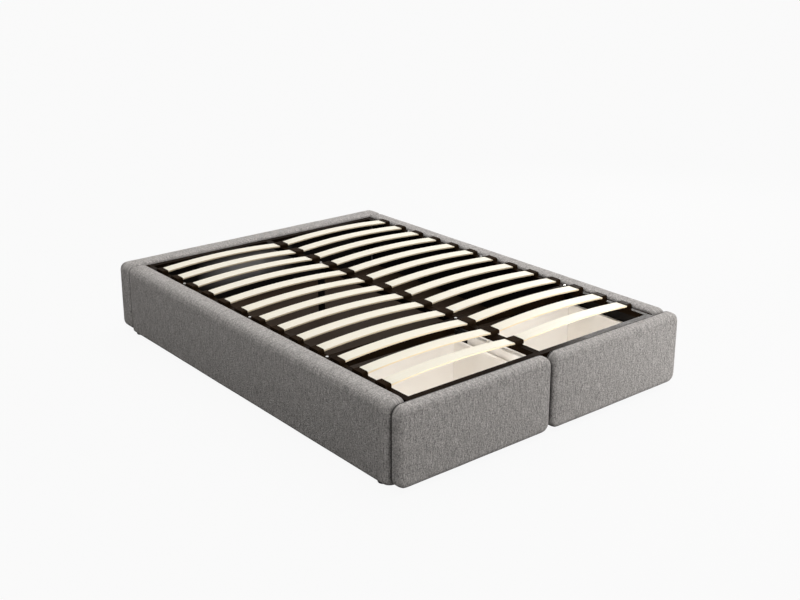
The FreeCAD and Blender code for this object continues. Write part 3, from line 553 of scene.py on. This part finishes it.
def swell(piece, free):
    """Blow the cover up from a slightly smaller shape, then even out its rise and scale it."""
    mesh = piece.data
    normals = normals_of(mesh)
    start = points_of(mesh) - normals * (PAD_SHRINK * free)[:, None]
    set_points(mesh, start)
    held = piece.vertex_groups.new(name="held")
    for index in np.flatnonzero(free < 1):
        held.add([int(index)], float(1 - free[index]), "REPLACE")
    cloth = piece.modifiers.new("cover", "CLOTH")
    cloth.settings.vertex_group_mass = "held"
    cloth.settings.use_pressure = True
    cloth.settings.uniform_pressure_force = PAD_PRESSURE
    cloth.settings.effector_weights.gravity = 0
    cloth.settings.quality = PAD_QUALITY
    scene = bpy.context.scene
    for number in range(1, PAD_FRAMES + 1):
        scene.frame_set(number)
    apply_modifiers(piece)
    rise = np.einsum("ij,ij->i", points_of(piece.data) - start, normals)
    share = np.clip(rise / np.percentile(rise, PAD_FULL_PERCENTILE), 0, 1)
    rise = evened(piece.data, share * PAD_RISE)
    set_points(piece.data, start + normals * rise[:, None])
    scene.frame_set(1)
    piece.vertex_groups.clear()


def add_waves(piece, free, seed):
    """Slight waves of hand-stretched cloth over foam."""
    mesh = piece.data
    points = points_of(mesh)
    long_start, short_start = Vector((seed, 0, 0)), Vector((0, seed, 0))
    waves = [
        noise.noise(point * LONG_WAVES + long_start)
        + SHORT_WAVE_SHARE * noise.noise(point * SHORT_WAVES + short_start)
        for point in map(Vector, points)
    ]
    set_points(mesh, points + normals_of(mesh) * (np.array(waves) * WAVE_DEPTH * free)[:, None])


def add_crease(piece, upper, lower):
    """A shallow fold in the cover of a drawer front, from its upper edge downwards."""
    mesh = piece.data
    points = points_of(mesh)
    way = np.subtract(lower, upper)
    offset = points[:, [0, 2]] - upper
    share = np.clip(offset @ way / (way @ way), 0, 1)
    gap = np.linalg.norm(offset - share[:, None] * way, axis=1)
    outer = points[:, 1] < FRONT_LINING - CREASE_MARGIN
    depth = CREASE_DEPTH * np.exp(-((gap / CREASE_WIDTH) ** 2)) * outer
    set_points(mesh, points - normals_of(mesh) * depth[:, None])


def cut_pocket(piece, board):
    """Cut the seat of the board out of the padding."""
    low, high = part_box(board)
    play = Vector((POCKET_PLAY,) * 3)
    bpy.ops.mesh.primitive_cube_add(size=1, location=(low + high) / 2)
    tool = bpy.context.object
    tool.scale = high - low + 2 * play
    cutter = piece.modifiers.new("seat", "BOOLEAN")
    cutter.operation = "DIFFERENCE"
    cutter.solver = "EXACT"
    cutter.object = tool
    apply_modifiers(piece)
    bpy.data.objects.remove(tool)


def unrolled(along, out, half, thick, radius):
    """Way over the cloth from the middle of the outer face, round the edge and over to the back."""
    side = np.abs(along)
    core = half - radius
    edge = side - core
    rise = out - (thick - radius)
    angle = np.arctan2(np.maximum(edge, 0), np.maximum(rise, 1e-9))
    way = np.where(rise > 0, core + radius * angle, core + radius * math.pi / 2 - rise)
    way = np.where(edge > 0, way, side)
    return np.sign(along) * way


def map_weave(piece, low, high, out, radius):
    """Lay the weave over the padding: level threads along it, upright threads up and over its edges."""
    mesh = piece.data
    points = points_of(mesh)
    middle = np.array((low + high) / 2)
    half = np.array((high - low) / 2)
    normal = np.array(out)
    axis = int(np.argmax(np.abs(normal)))
    along = 1 - axis
    height = points[:, 2] - middle[2]
    depth = (points - middle) @ normal + half[axis]
    level = unrolled(points[:, along] - middle[along], depth, half[along], 2 * half[axis], radius)
    upright = unrolled(height, depth, half[2], 2 * half[axis], radius)
    on_back = upright + np.sign(height) * (half[2] - np.abs(height))
    upright = np.where(depth < BACK_SKIN, on_back, upright)
    layer = mesh.uv_layers.new(name=WEAVE)
    loops = np.empty(len(mesh.loops), np.int32)
    mesh.loops.foreach_get("vertex_index", loops)
    layer.data.foreach_set("uv", np.stack([level, upright], 1)[loops].astype(np.float32).ravel())


def depth_of(piece, low, high, out):
    """How far each point stands out from the panel's inner face."""
    normal = np.array(out)
    inner = np.array(low) if normal.sum() > 0 else np.array(high)
    return (points_of(piece.data) - inner) @ normal


def padded_panel(name, body, out, radius, seed, fabric):
    """One upholstered panel in place of its plain solid, with the seat of its board cut out."""
    node = f"{name}_upholstery"
    low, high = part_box(node)
    piece = hull_of(node, f"{name}_padding")
    remesh(piece)
    free = np.clip((depth_of(piece, low, high, out) - PAD_HELD) / PAD_FADE, 0, 1)
    swell(piece, free)
    add_waves(piece, free, seed)
    subdivide(piece)
    if name in CREASES:
        add_crease(piece, *CREASES[name])
    cut_pocket(piece, f"{name}_board")
    map_weave(piece, low, high, out, radius)
    piece.data.materials.clear()
    piece.data.materials.append(fabric)
    for face in piece.data.polygons:
        face.use_smooth = True
    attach(piece, body)
    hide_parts(node)


# Stage


def place_camera():
    data = bpy.data.cameras.new("camera")
    data.lens = CAMERA_LENS_MM
    data.sensor_width = CAMERA_SENSOR_MM
    data.shift_y = CAMERA_SHIFT
    camera = bpy.data.objects.new("camera", data)
    camera.location = CAMERA_PLACE
    camera.rotation_euler = (math.radians(90 - CAMERA_DOWN), 0, math.radians(-CAMERA_AZIMUTH))
    bpy.context.scene.collection.objects.link(camera)
    bpy.context.scene.camera = camera


def seen_directly(tree):
    """1 for rays from the camera, a mirror or glass, and 0 for light that bounces softly."""
    path = tree.nodes.new("ShaderNodeLightPath")
    total = path.outputs["Is Camera Ray"]
    for name in ("Is Glossy Ray", "Is Transmission Ray"):
        larger = tree.nodes.new("ShaderNodeMath")
        larger.operation = "MAXIMUM"
        tree.links.new(total, larger.inputs[0])
        tree.links.new(path.outputs[name], larger.inputs[1])
        total = larger.outputs[0]
    return total


def lay_floor():
    """Pale floor: soft light shades it, and part of its white is plain to the camera."""
    bpy.ops.mesh.primitive_plane_add(size=FLOOR_REACH)
    floor = bpy.context.object
    floor.name = "floor"
    finish = Finish("floor")
    tree = finish.tree
    finish.shine(base_color=(*FLOOR_TONE, 1), roughness=1.0, specular_ior_level=0.0)
    glow = finish.add("Emission", {"Color": WHITE, "Strength": 1.0})
    share = finish.math("MULTIPLY", seen_directly(tree), FLOOR_GLOW_SHARE)
    mix = finish.add("MixShader", {0: share, 1: finish.surface.outputs[0], 2: glow.outputs[0]})
    tree.links.new(mix.outputs[0], tree.nodes["Material Output"].inputs["Surface"])
    floor.data.materials.append(finish.material)


def light_sky():
    """Even soft light in front of a plain white background."""
    world = bpy.data.worlds.new("studio")
    world.use_nodes = True
    tree = world.node_tree
    bpy.context.scene.world = world
    soft = tree.nodes["Background"]
    soft.inputs["Color"].default_value = (*LAMP_TINT, 1)
    soft.inputs["Strength"].default_value = SKY_LEVEL
    white = tree.nodes.new("ShaderNodeBackground")
    white.inputs["Color"].default_value = WHITE
    mix = tree.nodes.new("ShaderNodeMixShader")
    tree.links.new(seen_directly(tree), mix.inputs[0])
    tree.links.new(soft.outputs[0], mix.inputs[1])
    tree.links.new(white.outputs[0], mix.inputs[2])
    tree.links.new(mix.outputs[0], tree.nodes["World Output"].inputs["Surface"])


def hang_lamp(data, place, target):
    """Put a tinted lamp at its place and turn it to its target."""
    data.color = LAMP_TINT
    lamp = bpy.data.objects.new(data.name, data)
    lamp.location = place
    lamp.rotation_euler = (Vector(target) - Vector(place)).to_track_quat("-Z", "Y").to_euler()
    bpy.context.scene.collection.objects.link(lamp)


def sun(name, direction, spread, level):
    """Light from a wide patch of sky; its level is what it gives to a face turned to it."""
    data = bpy.data.lights.new(name, "SUN")
    data.energy = level * math.pi
    data.angle = math.radians(spread)
    hang_lamp(data, direction, (0, 0, 0))


def softbox(name, place, target, width, height, level):
    """A rectangular lamp; its level is what it gives at its target, faced squarely."""
    data = bpy.data.lights.new(name, "AREA")
    data.shape = "RECTANGLE"
    data.size = width
    data.size_y = height
    data.energy = level * math.pi**2 * (Vector(place) - Vector(target)).length_squared
    hang_lamp(data, place, target)


# Carried-over solids


def by_slot(slot):
    return [row["node"] for row in frame["record"]["subparts"] if row["material_slot"] == slot]


def dress(finish, names):
    for name in names:
        mesh = nodes[name].data
        mesh.materials.clear()
        mesh.materials.append(finish)


def ease(names, width):
    """Break the sharp edges of boards and slats."""
    for name in names:
        weld = nodes[name].modifiers.new("weld", "WELD")
        weld.merge_threshold = EASE_WELD
        bevel = nodes[name].modifiers.new("ease", "BEVEL")
        bevel.width = width
        bevel.segments = EASE_SEGMENTS
        bevel.limit_method = "ANGLE"
        bevel.angle_limit = math.radians(EASE_ANGLE)
        bevel.harden_normals = True


# The scene

fabrics = {
    "woven_fabric": woven_fabric("woven_fabric"),
    "front_fabric": woven_fabric("front_fabric", FRONT_LINING),
}

place_camera()
lay_floor()
light_sky()
for row in SUNS:
    sun(*row)
for row in LAMPS:
    softbox(*row)

for *row, fabric in PANELS:
    padded_panel(*row, fabrics[fabric])

dress(birch(), by_slot("slat_birch"))
for slot, *row in COATS:
    dress(coated(*row), by_slot(slot))
for slot, *row in STEELS:
    dress(bright_steel(*row), by_slot(slot))
dress(white_melamine("white_melamine"), by_slot("white_board"))
# The partitions carry painted shade: their rear part is black
dress(white_melamine("partition_melamine", PARTITION_SHADE_START), ["left_partition", "right_partition"])
dress(brown_board(), by_slot("base_board"))
dress(board_lining("black_lining"), by_slot("panel_board"))
# The head lining has a grey patch of painted light
dress(board_lining("head_lining", painted_light=True), ["head_board"])
ease(by_slot("white_board") + ["base_board"], BOARD_EASE)
ease(by_slot("slat_birch"), SLAT_EASE)

bpy.context.scene.view_settings.view_transform = "Standard"
